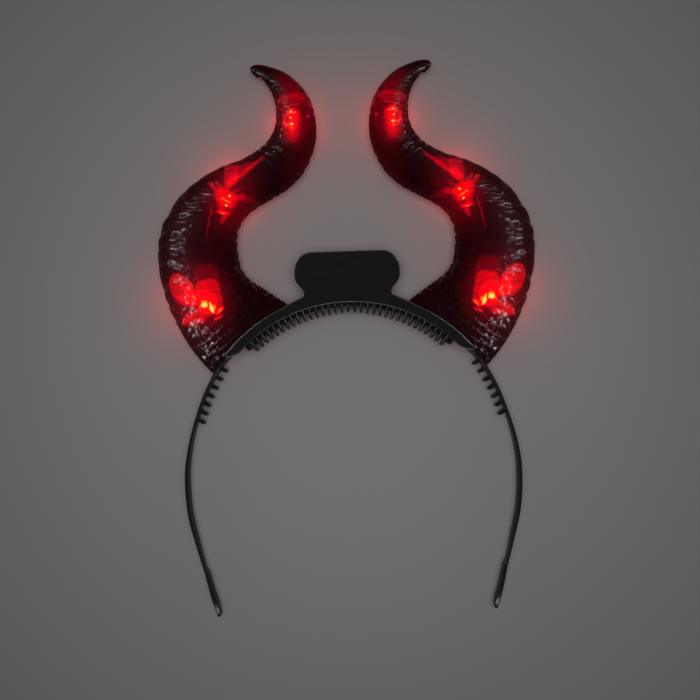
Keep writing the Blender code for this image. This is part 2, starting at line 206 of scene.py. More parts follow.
# %% Tables of crisp petals and panes
PETALS = [
    # x, y, turn in degrees, half length, half width (all mm), softness, strength
    (66.1, 20.8, 57, 7.4, 4.6, 0.09, 0.42),
    (64.3, 16.8, 18, 4.6, 1.2, 0.40, 0.35),
    (62.0, 9.9, 158, 5.3, 2.8, 0.20, 0.32),
    (64.5, 8.9, 156, 3.2, 0.6, 0.50, 0.25),
    (59.4, 9.0, 0, 2.0, 1.3, 0.50, 0.32),
    (51.8, 12.2, 140, 2.2, 1.1, 0.30, 0.90),
    (52.1, 9.5, 155, 2.2, 0.5, 0.40, 0.60),
    (57.8, 23.2, 155, 2.4, 0.5, 0.50, 0.14),
    (45.9, 62.8, 125, 2.3, 1.4, 0.40, 0.65),
    (41.8, 67.6, 144, 5.8, 2.5, 0.30, 0.16),
    (44.2, 64.8, 120, 2.4, 1.8, 0.50, 0.20),
    (40.6, 67.2, 144, 6.2, 1.4, 0.35, 0.15),
    (36.0, 70.6, 144, 4.6, 0.8, 0.50, 0.15),
    (42.3, 65.6, 147, 3.4, 0.32, 0.50, 0.50),
    (37.8, 69.2, 143, 5.2, 0.30, 0.60, 0.16),
    (35.2, 71.6, 140, 4.0, 0.26, 0.60, 0.16),
    (52.4, 61.7, 48, 2.5, 0.8, 0.40, 0.34),
    (50.6, 62.3, 70, 2.1, 0.6, 0.40, 0.32),
    (49.2, 61.4, 88, 1.5, 0.5, 0.40, 0.22),
    (42.7, 57.3, 178, 3.1, 1.1, 0.40, 0.42),
    (43.8, 59.6, 150, 2.2, 0.7, 0.40, 0.20),
    (38.6, 56.4, 12, 2.6, 1.1, 0.60, 0.07),
    (49.9, 54.6, 75, 2.6, 1.4, 0.40, 0.28),
    (48.9, 51.4, 12, 2.5, 0.9, 0.30, 0.75),
    (48.9, 48.9, 118, 2.0, 0.9, 0.45, 0.28),
    (53.6, 51.6, 108, 2.6, 0.30, 0.50, 0.20),
    (54.7, 47.2, 103, 2.8, 0.28, 0.50, 0.18),
    (55.4, 43.4, 98, 1.8, 0.24, 0.60, 0.10),
    (20.3, 90.7, 90, 1.9, 1.9, 0.35, 0.70),
    (20.4, 86.1, 0, 2.3, 1.6, 0.35, 0.70),
    (23.4, 88.5, 85, 2.9, 0.9, 0.40, 0.32),
    (18.0, 89.5, 95, 2.8, 1.1, 0.40, 0.22),
    (19.9, 81.6, 90, 2.3, 2.0, 0.60, 0.18),
    (22.5, 93.4, 158, 2.4, 0.40, 0.40, 0.36),
    (18.8, 94.4, 175, 2.1, 0.35, 0.50, 0.40),
    (20.0, 97.2, 172, 6.1, 2.2, 0.16, 0.12),
    (19.3, 98.0, 165, 2.3, 0.5, 0.50, 0.16),
    (23.0, 96.7, 150, 3.0, 0.5, 0.50, 0.10),
    (16.5, 97.0, 20, 3.0, 0.6, 0.50, 0.10),
    (13.1, 95.0, 72, 1.9, 0.32, 0.50, 0.24),
    (13.8, 89.6, 0, 0.8, 0.55, 0.40, 0.50),
]
PANES = [
    # patches with square corners, in the same columns
    (55.4, 18.0, 78, 6.9, 4.7, 0.07, 0.38),
    (55.6, 22.0, 80, 8.6, 4.8, 0.14, 0.06),
    (45.3, 66.6, 97, 4.4, 2.9, 0.10, 0.24),
]
print("petals and panes:", len(PETALS) + len(PANES))

# %% Table of the lamps' bright dots
SPARKS = [
    # x, y, turn in degrees, half length, half width (all mm), softness, strength
    (57.6, 14.7, 20, 1.2, 1.0, 0.45, 1.00),
    (56.6, 14.4, 40, 0.7, 0.4, 0.60, 0.80),
    (57.3, 15.9, 15, 1.4, 0.5, 0.60, 0.50),
    (58.7, 14.4, 70, 0.8, 0.4, 0.60, 0.45),
    (55.1, 14.8, 71, 0.8, 0.5, 0.60, 0.75),
    (54.6, 13.2, 71, 1.5, 0.75, 0.45, 1.00),
    (54.1, 11.9, 60, 0.6, 0.4, 0.60, 0.60),
    (53.5, 13.8, 80, 0.9, 0.4, 0.60, 0.45),
    (51.4, 12.4, 140, 1.2, 0.4, 0.60, 0.30),
    (61.4, 17.6, 60, 1.2, 0.3, 0.60, 0.38),
    (46.1, 57.9, 0, 0.5, 0.5, 0.50, 0.85),
    (47.0, 55.9, 25, 1.2, 0.35, 0.60, 0.35),
    (48.6, 56.9, 20, 0.7, 0.4, 0.60, 0.30),
    (47.5, 54.2, 0, 0.5, 0.4, 0.50, 0.85),
    (49.0, 51.1, 0, 0.6, 0.35, 0.60, 0.38),
    (20.5, 91.4, 20, 0.6, 0.40, 0.60, 0.75),
    (19.2, 91.1, 150, 0.5, 0.25, 0.60, 0.36),
    (20.8, 89.1, 110, 0.42, 0.38, 0.60, 0.75),
    (20.4, 86.4, 0, 0.75, 0.42, 0.60, 0.85),
    (20.3, 85.0, 0, 0.4, 0.3, 0.60, 0.40),
]
print("sparks:", len(SPARKS))

# %% [markdown]
# ### Glossy crests
# Where a fold stands proud, it is rubbed glossy and catches the light as a short white dash. The
# strongest dashes have a place of their own in a table, and stand a little higher on the mesh.

# %% Table of glossy crests and beads
GLINTS = [
    # the same columns, two to a line
    (54.3, 58.9, 10, 2.9, 0.34, 0.5, 1.0), (57.5, 56.4, 5, 1.9, 0.28, 0.5, 1.0),
    (65.0, 51.6, 3, 3.2, 0.34, 0.5, 1.0), (61.5, 54.0, 8, 1.6, 0.22, 0.5, 0.8),
    (57.5, 52.5, 0, 1.2, 0.28, 0.5, 0.8), (66.0, 48.3, 5, 1.8, 0.22, 0.5, 0.8),
    (71.0, 47.3, 14, 1.2, 0.24, 0.5, 0.8), (68.2, 44.5, 14, 2.2, 0.40, 0.5, 1.0),
    (65.0, 45.0, 0, 0.8, 0.50, 0.5, 1.0), (70.4, 41.0, 10, 1.4, 0.28, 0.5, 0.8),
    (65.0, 41.2, 5, 0.8, 0.24, 0.5, 0.8), (69.6, 37.5, 6, 1.9, 0.44, 0.5, 1.0),
    (66.4, 38.0, 0, 0.7, 0.30, 0.5, 0.8), (69.2, 35.0, 10, 1.4, 0.28, 0.5, 0.9),
    (69.9, 32.2, 20, 1.4, 0.44, 0.5, 1.0), (66.5, 30.6, 20, 0.9, 0.28, 0.5, 0.8),
    (68.5, 29.4, 25, 1.2, 0.34, 0.5, 1.0), (63.0, 29.6, 90, 2.4, 0.20, 0.5, 0.5),
    (71.0, 27.0, 60, 0.9, 0.28, 0.5, 0.9), (67.0, 25.2, 10, 1.1, 0.60, 0.5, 1.0),
    (68.6, 23.9, 60, 0.5, 0.36, 0.5, 1.0), (68.0, 21.0, 30, 0.5, 0.34, 0.5, 1.0),
    (65.6, 18.0, 80, 0.6, 0.44, 0.5, 1.0), (65.0, 15.8, 10, 0.8, 0.38, 0.5, 1.0),
    (62.0, 15.5, 60, 0.5, 0.30, 0.5, 1.0), (66.2, 13.4, 160, 0.9, 0.30, 0.5, 1.0),
    (63.6, 12.2, 0, 0.5, 0.30, 0.5, 0.9), (60.5, 8.2, 150, 0.9, 0.40, 0.5, 1.0),
    (62.8, 6.6, 140, 0.7, 0.34, 0.5, 0.9), (57.0, 6.0, 0, 0.5, 0.40, 0.5, 1.0),
    (58.8, 4.2, 150, 0.9, 0.36, 0.5, 1.0), (55.0, 3.1, 40, 1.0, 0.70, 0.5, 1.0),
    (52.6, 3.8, 130, 0.7, 0.36, 0.5, 1.0), (49.5, 2.5, 0, 0.5, 0.34, 0.5, 0.9),
    (51.5, 1.2, 0, 0.6, 0.34, 0.5, 1.0), (56.6, 0.8, 150, 0.8, 0.36, 0.5, 1.0),
    (53.6, -1.2, 20, 0.6, 0.34, 0.5, 0.9), (37.2, 65.2, 45, 1.3, 0.26, 0.5, 0.8),
    (31.4, 75.5, 20, 0.7, 0.34, 0.5, 1.0), (27.5, 75.9, 0, 0.7, 0.36, 0.5, 1.0),
    (24.6, 76.4, 90, 0.5, 0.26, 0.5, 0.9), (25.4, 82.0, 90, 0.5, 0.34, 0.5, 1.0),
    (25.3, 84.6, 90, 0.6, 0.30, 0.5, 0.9), (25.7, 87.2, 90, 0.5, 0.30, 0.5, 0.9),
    (25.9, 90.3, 90, 0.6, 0.32, 0.5, 1.0), (26.0, 93.1, 90, 0.5, 0.30, 0.5, 0.9),
    (25.9, 96.2, 90, 0.8, 0.34, 0.5, 1.0), (26.5, 100.9, 0, 0.5, 0.28, 0.5, 0.9),
    (28.2, 102.1, 80, 0.9, 0.36, 0.5, 1.0), (28.1, 104.2, 30, 1.2, 0.48, 0.5, 1.0),
    (30.6, 106.0, 30, 1.0, 0.45, 0.5, 1.0), (32.3, 107.2, 35, 1.7, 0.55, 0.5, 1.0),
    (34.1, 108.2, 70, 0.5, 0.30, 0.5, 1.0), (36.2, 109.5, 30, 0.9, 0.30, 0.5, 1.0),
]
print("glossy crests:", len(GLINTS))

# %% [markdown]
# ## Dark red vinyl
# The shells are thin, soft-moulded vinyl, tinted so deep a red that they look black where no lamp
# is near. The skin is wet-looking, with folds and pores that break the highlights into dashes.
# The coat gives the sharp gloss, and the base below it stays nearly black. Patterns read the
# place with its X folded over, so that the left horn shows the right one's patches mirrored. A
# small ripple in the place makes the patches' edges uneven, as wrinkles do.

# %% Material for the horns: a rippled, mirrored place
RIPPLE = 0.9
vinyl, tree, shader = blank("dark_red_vinyl")
place = add(tree, "TexCoord").outputs["Object"]
apart = add(tree, "SeparateXYZ", {"Vector": place})
folded = add(tree, "CombineXYZ", {
    "X": maths(tree, "ABSOLUTE", apart.outputs["X"]),
    "Y": apart.outputs["Y"],
    "Z": apart.outputs["Z"],
})
ripple = add(tree, "TexNoise", {"Vector": folded, "Scale": scale_of(1.4286), "Detail": 2.0})
shift = add(tree, "VectorMath", {
    0: ripple.outputs["Color"], 1: (-0.5, -0.5, -0.5),
}, operation="ADD")
small = add(tree, "VectorMath", {0: shift, "Scale": RIPPLE * MM}, operation="SCALE")
where = add(tree, "VectorMath", {0: folded, 1: small}, operation="ADD")
print("nodes in", vinyl.name, "so far:", len(tree.nodes))


# %% Patches drawn from a table
def patches(table, source, operation, square=False):
    """Ovals or square-cornered patches from a table, added up or laid over each other."""
    total = None
    for x, y, turn, length, width, soft, strength in table:
        at, power = add(tree, "Mapping", {
            "Vector": source,
            "Location": (x * MM, y * MM, 0.0),
            "Rotation": (0.0, 0.0, math.radians(turn)),
            "Scale": (length * MM, width * MM, 1000.0),
        }, vector_type="TEXTURE"), 1
        if square:
            at, power = add(tree, "VectorMath", {0: at, 1: at}, operation="MULTIPLY"), 2
        distance = add(tree, "VectorMath", {0: at}, operation="LENGTH").outputs["Value"]
        oval = remap(
            tree, distance, ((1 + soft) ** power, (1 - soft) ** power), (0.0, strength),
            interpolation_type="SMOOTHSTEP",
        )
        total = oval if total is None else maths(tree, operation, total, oval)
    return total


petals = patches(PETALS, where, "ADD")
panes = patches(PANES, where, "ADD", square=True)
sparks = patches(SPARKS, where, "MAXIMUM")
print("nodes in", vinyl.name, "so far:", len(tree.nodes))

# %% [markdown]
# ### Streaks in the light
# Creases in the vinyl draw fine light and dark lines through the petals. They could be drawn one
# by one, but a noise stretched ten times along one slanting direction gives them all at once.
# The pools only get a soft mottle.

# %% Streaks through the petals, mottle over the pools
SLANT = math.radians(17)
slant = add(tree, "Mapping", {
    "Vector": where, "Rotation": (0.0, 0.0, SLANT),
    "Scale": (scale_of(7.692), scale_of(0.7692), scale_of(3.333)),
})
streak = add(tree, "TexNoise", {
    "Vector": slant, "Scale": 1.0, "Detail": 4.0, "Roughness": 0.6,
})
lines = remap(tree, streak, (0.32, 0.68), (0.50, 1.50))
crisp = maths(tree, "MULTIPLY", maths(tree, "ADD", petals, panes), lines)
mottle = add(tree, "TexNoise", {
    "Vector": where, "Scale": scale_of(2.381), "Detail": 3.0, "Roughness": 0.65,
})
cloudy = remap(tree, mottle, (0.3, 0.7), (0.55, 1.35))
pools = add(tree, "Attribute", attribute_name="haze").outputs["Fac"]
glow = maths(tree, "ADD", crisp, maths(tree, "MULTIPLY", pools, cloudy))
print("nodes in", vinyl.name, "so far:", len(tree.nodes))

# %% [markdown]
# ### The glow's colour
# Red vinyl lets only red through, so the pools and petals are pure red. Right over a lamp the
# light is strong enough to come out yellow. The yellow dots show only on the front, where the
# lamps face.

# %% Red glow and yellow dots
front = remap(
    tree, apart.outputs["Z"], (12 * MM, 19 * MM), (0.0, 1.0), interpolation_type="SMOOTHSTEP",
)
hot = maths(tree, "MULTIPLY", sparks, front)
red = maths(tree, "ADD", maths(tree, "ADD", glow, hot), 0.005)
yellow = maths(tree, "POWER", hot, 1.6)
core = maths(tree, "POWER", yellow, 3.0)
faint = maths(tree, "MINIMUM", red, 0.18)
shine = add(tree, "CombineColor", {
    "Red": red,
    "Green": maths(tree, "MULTIPLY", yellow, 0.80),
    "Blue": maths(tree, "MULTIPLY_ADD", faint, 0.030, maths(tree, "MULTIPLY", core, 0.15)),
})
fill(tree, shader, {"Emission Color": shine, "Emission Strength": 1.0})
print("glow linked")

# %% [markdown]
# ### The skin itself
# The mesh carries two layers that are worked out with its shape: how far up a crest a point lies,
# and how glossy it is. The grooves are painted darker: painted shade in the creases. Only glossy
# crests and blisters have the sharp coat, and pores of about 0.8 mm break it into beads. One gloss
# all over would be simpler, but it would draw one long line of light down the horn, where the real
# one shows short dashes.

# %% Colour, gloss and pores of the vinyl
crest = add(tree, "Attribute", attribute_name="crest").outputs["Fac"]
gloss = add(tree, "Attribute", attribute_name="gloss").outputs["Fac"]
skin = add(tree, "TexNoise", {
    "Vector": place, "Scale": scale_of(3.846), "Detail": 5.0, "Roughness": 0.6,
})
# the skin's own random tone, with painted shade: darker towards the bottom of each groove
tone_and_groove_shade = add(tree, "Mix", {
    0: remap(tree, crest, (0.0, 0.6), (0.35, 1.0)),
    6: colour("#050305"),
    7: ramp(tree, skin, "#0d070b", "#23101a", 0.32, 0.70),
}, data_type="RGBA")
pores = add(tree, "TexNoise", {
    "Vector": place, "Scale": scale_of(0.7692), "Detail": 3.0, "Roughness": 0.6,
})
wet = maths(tree, "MULTIPLY", gloss, remap(tree, pores, (0.40, 0.54), (0.35, 1.0)))
bump = add(tree, "Bump", {"Height": pores, "Strength": 0.5, "Distance": 0.00010})
fill(tree, shader, {
    "Base Color": tone_and_groove_shade.outputs[2],
    "Roughness": remap(tree, wet, (0.0, 1.0), (0.55, 0.25)),
    "Normal": bump,
    "IOR": 1.52,
    "Specular IOR Level": 0.03,
    "Coat Weight": wet,
    "Coat Normal": bump,
    "Coat IOR": 1.62,
    "Coat Roughness": 0.10,
})
vinyl.cycles.emission_sampling = "NONE"
print("nodes in", vinyl.name, "in all:", len(tree.nodes))

# %% [markdown]
# ## Lamps and their flat strips
# They are closed in by the shells. The lamps are clear red epoxy round a chip; the strips are
# circuit board with white solder resist, printed flat, with a faint weave of the glass cloth
# below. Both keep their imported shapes, so only their materials are made: a swirl of about 1 mm in
# the epoxy, and two crossed waves for the cloth, whose threads lie about 0.5 mm apart.

# %% Material for the lamps
epoxy, tree, shader = blank("red_lamp_epoxy")
place = add(tree, "TexCoord").outputs["Object"]
swirl = add(tree, "TexNoise", {"Vector": place, "Scale": scale_of(1.1111), "Detail": 2.0})
tone = ramp(tree, swirl, "#a00808", "#ff2a12")
fill(tree, shader, {
    "Base Color": tone, "Emission Color": tone, "Emission Strength": 1.5,
    "Roughness": 0.12, "IOR": 1.55,
})
epoxy.cycles.emission_sampling = "NONE"
print("made", epoxy.name)

# %% Material for the strips
WAVES_TO_A_UNIT = 10 / math.pi
THREADS = scale_of(0.5236) / WAVES_TO_A_UNIT
board, tree, shader = blank("white_solder_resist")
place = add(tree, "TexCoord").outputs["Object"]
warp, weft = [
    add(tree, "TexWave", {
        "Vector": place, "Scale": THREADS, "Distortion": 0.4,
    }, bands_direction=axis).outputs["Fac"]
    for axis in "XY"
]
cloth = maths(tree, "MULTIPLY", warp, weft)
fill(tree, shader, {
    "Base Color": ramp(tree, cloth, "#d8d8d0", "#eeeee8"), "Roughness": 0.35,
})

for name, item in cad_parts.items():
    if name.startswith("lamp"):
        item.data.materials[0] = epoxy
    elif name.startswith("light_strip"):
        item.data.materials[0] = board
print("made", board.name)

# %% [markdown]
# ## A skin rolled from a sheet
# Horns and the springy strip are both long closed tubes. They could be bridged from rings, one by
# one. Here a grid, made by one operator, is rolled up: its length runs along the tube and its
# width goes once round. Where the two long edges meet they are merged. That keeps the faces even,
# and leaves a map of the surface to follow.

# %% Rolling a grid into a tube
def rolled(bm, along, around, surface, layers=(), weld=1e-6):
    """A tube from a grid: surface(u, v) gives a point and its values for the named layers."""
    uv = bm.loops.layers.uv.verify()
    stores = [bm.verts.layers.float.new(name) for name in layers]
    made = bmesh.ops.create_grid(bm, x_segments=along, y_segments=around, size=0.5)["verts"]
    for face in {face for vert in made for face in vert.link_faces}:
        for loop in face.loops:
            loop[uv].uv = (loop.vert.co.x + 0.5, loop.vert.co.y + 0.5)
    for vert in made:
        vert.co, values = surface(vert.co.x + 0.5, vert.co.y + 0.5)
        for store, value in zip(stores, values):
            vert[store] = value
    bmesh.ops.remove_doubles(bm, verts=made, dist=weld)


# %% Finishing a piece
def finished(bm, name, material, smooth):
    """Close the holes, turn the faces outwards, and make an object that rides on the body."""
    rims = [edge for edge in bm.edges if edge.is_boundary]
    if rims:
        bmesh.ops.holes_fill(bm, edges=rims, sides=0)
    bmesh.ops.recalc_face_normals(bm, faces=bm.faces)
    mesh = bpy.data.meshes.new(name)
    bm.to_mesh(mesh)
    bm.free()
    mesh.materials.append(material)
    mesh.shade_smooth()
    mesh.set_sharp_from_angle(angle=math.radians(smooth))
    piece = bpy.data.objects.new(name, mesh)
    bpy.context.scene.collection.objects.link(piece)
    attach(piece, "root")
    print(name, "triangles:", sum(len(face.vertices) - 2 for face in mesh.polygons))
    return piece


# %% [markdown]
# ## The shape of a horn
# A horn leaves the band, swells outwards, turns back over a narrow waist, and curls up into a
# hooked tip. The table gives its inner and outer edge as shares of its rise from the band, and how
# deep it is for its width. A smooth curve joins the rows.

# %% The horn's table and its smooth curve
ARCH_Y = -0.04696
SEAT_RADIUS = 0.0653
SEAT = Vector((0.0650 * math.sin(math.radians(40)), ARCH_Y + 0.0650 * math.cos(math.radians(40))))
RISE = 0.112
MID_DEPTH = 0.0134
HORN_ROWS = [
    # inner x, inner y, outer x, outer y, depth for width
    (-0.191, 0.070, 0.078, -0.183, 0.37),
    (-0.147, 0.106, 0.127, -0.141, 0.40),
    (-0.071, 0.159, 0.194, -0.059, 0.53),
    (-0.015, 0.200, 0.248, 0.034, 0.69),
    (0.012, 0.245, 0.286, 0.130, 0.78),
    (0.021, 0.301, 0.310, 0.248, 0.81),
    (0.019, 0.357, 0.304, 0.363, 0.83),
    (-0.001, 0.408, 0.259, 0.465, 0.86),
    (-0.043, 0.447, 0.179, 0.547, 0.89),
    (-0.104, 0.482, 0.081, 0.604, 0.92),
    (-0.171, 0.522, -0.015, 0.639, 0.94),
    (-0.233, 0.586, -0.088, 0.686, 0.95),
    (-0.272, 0.681, -0.125, 0.743, 0.95),
    (-0.275, 0.777, -0.133, 0.808, 0.95),
    (-0.246, 0.866, -0.118, 0.873, 0.95),
    (-0.179, 0.937, -0.083, 0.925, 0.95),
    (-0.097, 0.971, -0.067, 0.928, 0.95),
    (-0.049, 0.974, -0.040, 0.956, 0.95),
]


def between(rows, place):
    """The row at a place counted in rows, on a smooth curve through all of them."""
    i = min(int(place), len(rows) - 2)
    t = place - i
    near = [rows[max(i - 1, 0)], rows[i], rows[i + 1], rows[min(i + 2, len(rows) - 1)]]
    return [
        0.5 * (
            2 * b + (c - a) * t + (2 * a - 5 * b + 4 * c - d) * t * t
            + (3 * b - a - 3 * c + d) * t**3
        )
        for a, b, c, d in zip(*near)
    ]


def edges_at(place):
    """The horn's inner edge, outer edge and half depth at a place."""
    inner_x, inner_y, outer_x, outer_y, depth = between(HORN_ROWS, place)
    inner = Vector((SEAT.x + inner_x * RISE, SEAT.y + inner_y * RISE, MID_DEPTH))
    outer = Vector((SEAT.x + outer_x * RISE, SEAT.y + outer_y * RISE, MID_DEPTH))
    return inner, outer, (outer - inner).length / 2 * depth


LAST = len(HORN_ROWS) - 1
SAMPLES = 680
middles = [sum(edges_at(LAST * i / SAMPLES)[:2], Vector()) / 2 for i in range(SAMPLES + 1)]
lengths = [0.0]
for a, b in zip(middles, middles[1:]):
    lengths.append(lengths[-1] + (b - a).length)
print("horn, mm along its middle:", round(lengths[-1] / MM, 1))


def place_at(length):
    """The place, in rows, at a length along the horn's middle line."""
    low, high = 0, SAMPLES
    while high - low > 1:
        half = (low + high) // 2
        low, high = (half, high) if lengths[half] <= length else (low, half)
    share = (length - lengths[low]) / (lengths[high] - lengths[low])
    return LAST * (low + share) / SAMPLES


# %% [markdown]
# ## Growth rings, wrinkles and the seam
# The mould copies a real horn. Rings run round it, close together near the band and wide apart on
# the belly, each with a steep and a gentle side. Finer wrinkles follow them. Near the band, the
# outer side is crumpled like a raisin. The two half shells meet in a thin lip along both edges.
# This could be sculpted by hand or left to a bump map. A height worked out for every point is
# real shape, and the same sums say where the skin is glossy.

# %% Sizes of the relief, and the count of rings
RING_ROWS = [
    # ring spacing, groove depth, wrinkle height, crumple height, all mm, from band to tip
    (3.0, 0.20, 0.10, 0.26),
    (3.2, 0.24, 0.12, 0.34),
    (4.2, 0.34, 0.10, 0.22),
    (6.2, 0.44, 0.08, 0.06),
    (6.8, 0.46, 0.07, 0.04),
    (5.6, 0.36, 0.07, 0.04),
    (4.6, 0.30, 0.07, 0.04),
    (4.2, 0.28, 0.06, 0.04),
    (3.8, 0.26, 0.06, 0.04),
    (3.0, 0.18, 0.04, 0.02),
    (2.4, 0.06, 0.02, 0.00),
]
LIP = 0.40 * MM
LIP_WIDTH = 0.50 * MM
GLINT_RISE = 0.12
STEEP = 0.09
GENTLE = 0.34
LIP_NOTCH = 1.5
TOTAL = lengths[-1]

counts = [0.0]
for a, b in zip(lengths, lengths[1:]):
    spacing = between(RING_ROWS, (len(RING_ROWS) - 1) * a / TOTAL)[0] * MM
    counts.append(counts[-1] + (b - a) / spacing)
print("growth rings:", round(counts[-1]))


# %% Ovals of a table at one spot
def shine_at(table, spot):
    """The values of a table's ovals at one spot of the skin."""
    values = [0.0]
    x, y = abs(spot.x) / MM, spot.y / MM
    for centre_x, centre_y, turn, length, width, soft, strength in table:
        right, up = x - centre_x, y - centre_y
        if max(abs(right), abs(up)) < max(length, width) * (1 + soft):
            c, s = math.cos(math.radians(turn)), math.sin(math.radians(turn))
            distance = math.hypot((right * c + up * s) / length, (up * c - right * s) / width)
            t = min(1.0, max(0.0, (1 + soft - distance) / (2 * soft)))
            values.append(t * t * (3 - 2 * t) * strength)
    return values


# %% [markdown]
# The rings wander over 14 mm and wobble over 3 mm. Some rings are strong and some are hardly
# there. Each ring has a glossy fold beside its groove and a weaker second one behind it. Both show
# only on the outward side, where the skin is stretched.

# %% Height and gloss at one spot
WANDER, WOBBLE, LUCK = 70, 300, 45  # noises per metre
WRINKLE, PUCKER, FINE_PUCKER, CREASE, BLISTER = 150, 520, 1100, 400, 560


def clamped(value):
    """A number kept between 0 and 1."""
    return min(1.0, max(0.0, value))


def relief_at(place, turn, spot, half_width):
    """Height of the skin in metres, a share from groove to crest, and its gloss."""
    i = place / LAST * SAMPLES
    k = min(int(i), SAMPLES - 1)
    share = lengths[k] / TOTAL
    count = counts[k] + (counts[k + 1] - counts[k]) * (i - k)
    _, depth, wrinkle, crumple = between(RING_ROWS, (len(RING_ROWS) - 1) * share)
    count += noise.noise(spot * WANDER) * 0.7 + noise.noise(spot * WOBBLE) * 0.16
    ring = round(count)
    off = count - ring
    luck = 0.5 + 1.3 * noise.noise(Vector((ring * 3.7, 0.0, 9.0)) + spot * LUCK)
    strong = 0.25 + 0.75 * clamped(luck)
    groove = math.exp(-((abs(off) / (STEEP if off < 0 else GENTLE)) ** 1.4)) * strong
    fine = noise.noise(Vector((count * 3.3, turn * 1.1, 5.0)) + spot * WRINKLE)
    pucker = noise.noise(spot * PUCKER) * 0.6 + noise.noise(spot * FINE_PUCKER) * 0.3
    crease = 1 - abs(noise.noise(spot * CREASE)) * 2.4
    outer_side = 0.12 + 0.88 * max(0.0, math.cos(turn - 0.4))
    height = -depth * groove + wrinkle * (fine + 0.5 * pucker - 0.5)
    height += crumple * outer_side * (crease - 1)
    arc = min(abs(turn), abs(turn - math.pi), abs(turn - 2 * math.pi)) * half_width
    lip = math.exp(-((arc / LIP_WIDTH) ** 2))
    fold = math.exp(-(((off + 0.13) / 0.07) ** 2)) * clamped(luck * 1.6 - 0.3)
    second = math.exp(-(((off - 0.18) / 0.05) ** 2)) * clamped(luck * 1.6 - 0.8)
    blister = max(0.0, noise.noise(spot * BLISTER) * 2.2 - 0.1) * min(1.0, crumple * 4)
    glint = max(shine_at(GLINTS, spot))
    height += GLINT_RISE * glint
    clear_of_band = clamped((share - 0.05) * 25)
    outwards = clamped(math.cos(turn) * 2.5 - 0.5)
    folds = outwards * max(0.8 * fold, 0.5 * second)
    gloss = max(folds, 0.8 * blister * clear_of_band, glint)
    raised = (height * MM - LIP) * (1 - lip) - LIP_NOTCH * depth * groove * MM * lip
    return raised, 1 - groove, min(1.0, gloss)


# %% Where the horn stands clear of the band
def base_place(turn):
    """The first place where the skin at this turn stands clear of the band."""
    low, high = 0.0, 5.0
    for _ in range(24):
        half = (low + high) / 2
        inner, outer, _ = edges_at(half)
        point = (inner + outer) / 2 + (outer - inner) / 2 * math.cos(turn)
        clear = math.hypot(point.x, point.y - ARCH_Y) > SEAT_RADIUS
        low, high = (low, half) if clear else (half, high)
    return high


# %% [markdown]
# ## The two horns
# The right-hand skin is rolled, its base following the band and its tip drawn in to a round end.
# The base could be cut off with a boolean, but starting the rolled sheet on the band's curve
# leaves no ragged faces. The left horn is a mirror image, as the two come from mirrored moulds.

# %% The skin's start on the band, and its points
ALONG = 550
AROUND = 172
base_lengths = []
for k in range(AROUND + 1):
    i = base_place(2 * math.pi * k / AROUND) / LAST * SAMPLES
    j = int(i)
    base_lengths.append(lengths[j] + (lengths[j + 1] - lengths[j]) * (i - j))
TIP_ROUND = 1.6 * MM
THIN = 1.25 * MM
print("horn starts, mm:", [round(end(base_lengths) / MM, 1) for end in (min, max)])


def horn_surface(u, v):
    """A point of the right horn's skin."""
    turn = 2 * math.pi * (v % 1.0)
    start = base_lengths[round(v * AROUND)]
    length = start + (TOTAL - start) * u
    place = min(place_at(min(length, TOTAL * 0.9999)), LAST - 1e-6)
    inner, outer, half_depth = edges_at(place)
    middle = (inner + outer) / 2
    across = (outer - inner) / 2
    spot = middle + across * math.cos(turn) + Vector((0, 0, half_depth * math.sin(turn)))
    height, crest, gloss = relief_at(place, turn, spot, across.length)
    height *= min(1.0, across.length / THIN)
    left = TOTAL - length
    drawn = math.sqrt(max(0.0, 1 - (1 - left / TIP_ROUND) ** 2)) if left < TIP_ROUND else 1.0
    wide = (across.length + height) / across.length * drawn
    deep = (half_depth + height) / half_depth * drawn
    point = middle + across * math.cos(turn) * wide
    point += Vector((0, 0, half_depth * math.sin(turn) * deep))
    return point, (crest, gloss, sum(shine_at(POOLS, spot)))


# %% Making the horns
for label, side in (("right", 1), ("left", -1)):
    bm = bmesh.new()
    rolled(bm, ALONG, AROUND, horn_surface, ("crest", "gloss", "haze"))
    bmesh.ops.transform(bm, matrix=Matrix.Diagonal((side, 1, 1, 1)), verts=bm.verts)
    horn = finished(bm, f"horn_skin_{label}", vinyl, 180)
    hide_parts(f"horn_{label}")

# %% [markdown]
# ## The springy strip
# One thin, deep strip runs up one arm, over the arch and down the other, and ends in two small
# pads. A curve with a bevel could make it, but its thickness and depth change along the way. So
# its section, a rectangle with rounded corners, is rolled from a grid along a table of rows.

# %% The strip's rows
ARCH_ROWS = [
    # x, y from the arch centre, thickness, depth, all mm, from the arch's top to an arm's end
    (0.0, 64.8, 1.6, 24.3),
    (11.25, 63.82, 1.6, 24.3),
    (22.16, 60.89, 1.6, 24.3),
    (32.40, 56.12, 1.6, 24.3),
    (41.65, 49.64, 1.6, 24.3),
    (49.64, 41.65, 1.6, 24.3),
    (53.91, 36.03, 1.2, 17.0),
    (59.42, 25.92, 0.9, 13.0),
    (63.31, 15.68, 0.9, 11.8),
    (66.23, 5.70, 1.1, 11.8),
    (67.98, -4.47, 1.3, 11.9),
    (68.17, -14.52, 1.4, 11.5),
    (67.20, -24.69, 1.4, 10.5),
    (64.80, -34.93, 1.3, 9.3),
    (62.21, -44.52, 1.0, 8.1),
    (61.30, -47.69, 1.5, 8.4),
    (59.62, -55.21, 1.8, 8.5),
    (58.13, -60.39, 1.9, 8.2),
    (57.02, -64.02, 1.6, 6.2),
    (56.57, -65.09, 0.9, 4.0),
]
STRIP_MIDDLE = 12.15 * MM
STRIP_STEPS = 240
CORNER_SHARE = 0.20
CORNER_STEPS = 5
SECTION_SIDES = 4 * (CORNER_STEPS + 1)


def strip_row(place):
    """A row of the strip: the point of its outer face, its thickness and its depth."""
    x, y, thickness, depth = between(ARCH_ROWS, abs(place))
    return Vector((math.copysign(x, place) if place else 0.0, y, 0.0)), thickness, depth


